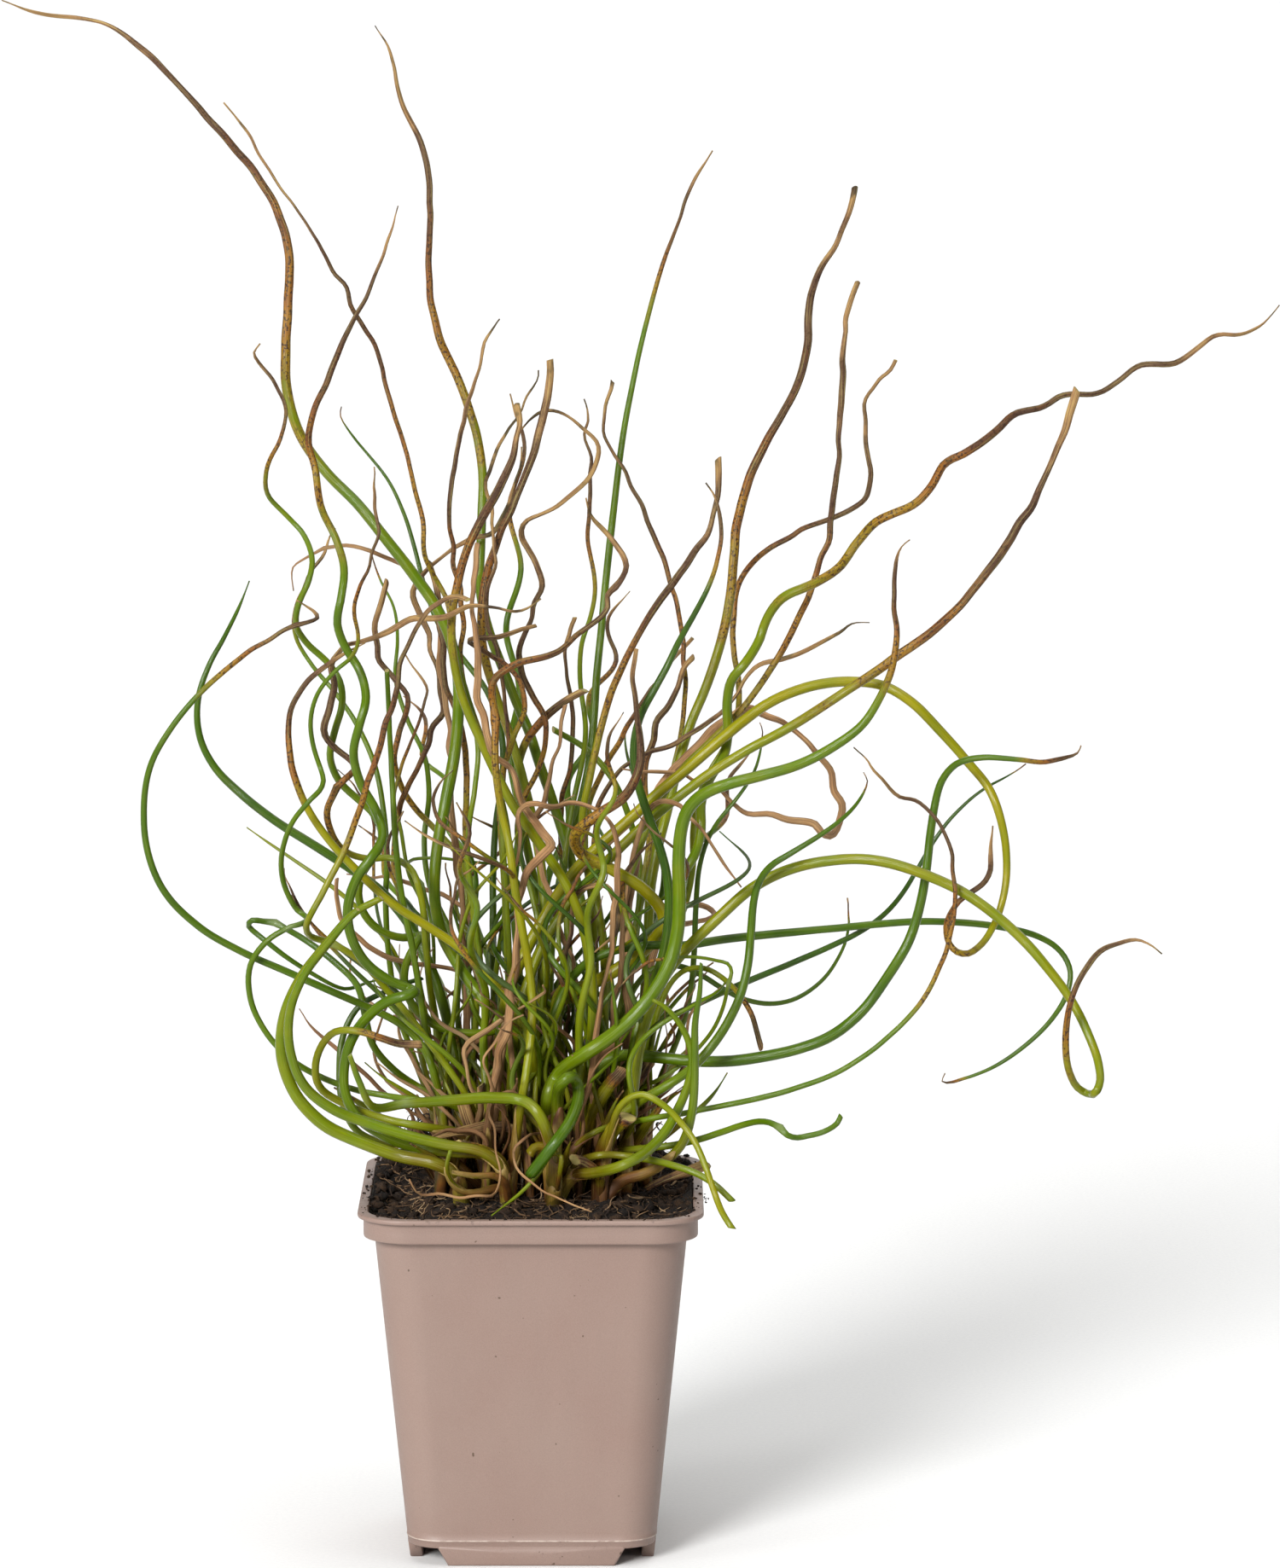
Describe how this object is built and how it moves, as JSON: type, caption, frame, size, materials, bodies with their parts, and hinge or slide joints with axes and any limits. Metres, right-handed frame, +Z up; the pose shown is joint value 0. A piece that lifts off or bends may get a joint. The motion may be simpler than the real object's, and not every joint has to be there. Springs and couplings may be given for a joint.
{
  "type": "potted corkscrew rush",
  "caption": "Potted rush with leafless green and brown stems that coil and bow outwards, growing from dark soil in a square tapered plastic nursery pot.",
  "frame": {"origin": "centre of the pot's small round centre foot, on the surface the pot stands on", "axes": "+Z up, the pot's sides face -Y (front), +X, +Y and -X"},
  "size_m": [0.3379, 0.2301, 0.4039],
  "materials": {
    "pot_plastic": "moulded taupe polypropylene, faintly satin",
    "potting_soil": "crumbly dark peat with pale fibres",
    "green_stems": "smooth finely ribbed fresh stem, slightly glossy",
    "dark_green_stems": "smooth finely ribbed fresh stem, slightly glossy",
    "olive_stems": "ripening stem, speckled orange-brown",
    "dry_stems": "dead straw-coloured stem, matt and fibrous"
  },
  "bodies": {
    "root": {"pot": "pot_plastic", "soil": "potting_soil", "tuft_a1": "green_stems", "tuft_a2": "green_stems", "tuft_a3": "green_stems", "tuft_a4": "green_stems", "tuft_b1": "dark_green_stems", "tuft_b2": "green_stems", "tuft_b3": "green_stems", "tuft_b4": "green_stems", "tuft_b5": "dark_green_stems", "tuft_c1": "olive_stems", "tuft_c2": "green_stems", "tuft_c3": "olive_stems", "tuft_c4": "green_stems", "tuft_c5": "dark_green_stems", "tuft_d1": "olive_stems", "tuft_d2": "dark_green_stems", "tuft_d3": "green_stems", "tuft_d4": "green_stems", "tuft_d5": "dark_green_stems", "tuft_e1": "olive_stems", "tuft_e2": "green_stems", "tuft_e3": "green_stems", "tuft_e4": "olive_stems", "dry_tuft_s1": "dry_stems", "dry_tuft_s2": "dry_stems", "dry_tuft_s3": "dry_stems", "dry_tuft_s4": "dry_stems", "dry_tuft_s5": "dry_stems", "dry_tuft_s6": "dry_stems", "dry_tuft_s7": "dry_stems"}
  },
  "joints": []
}
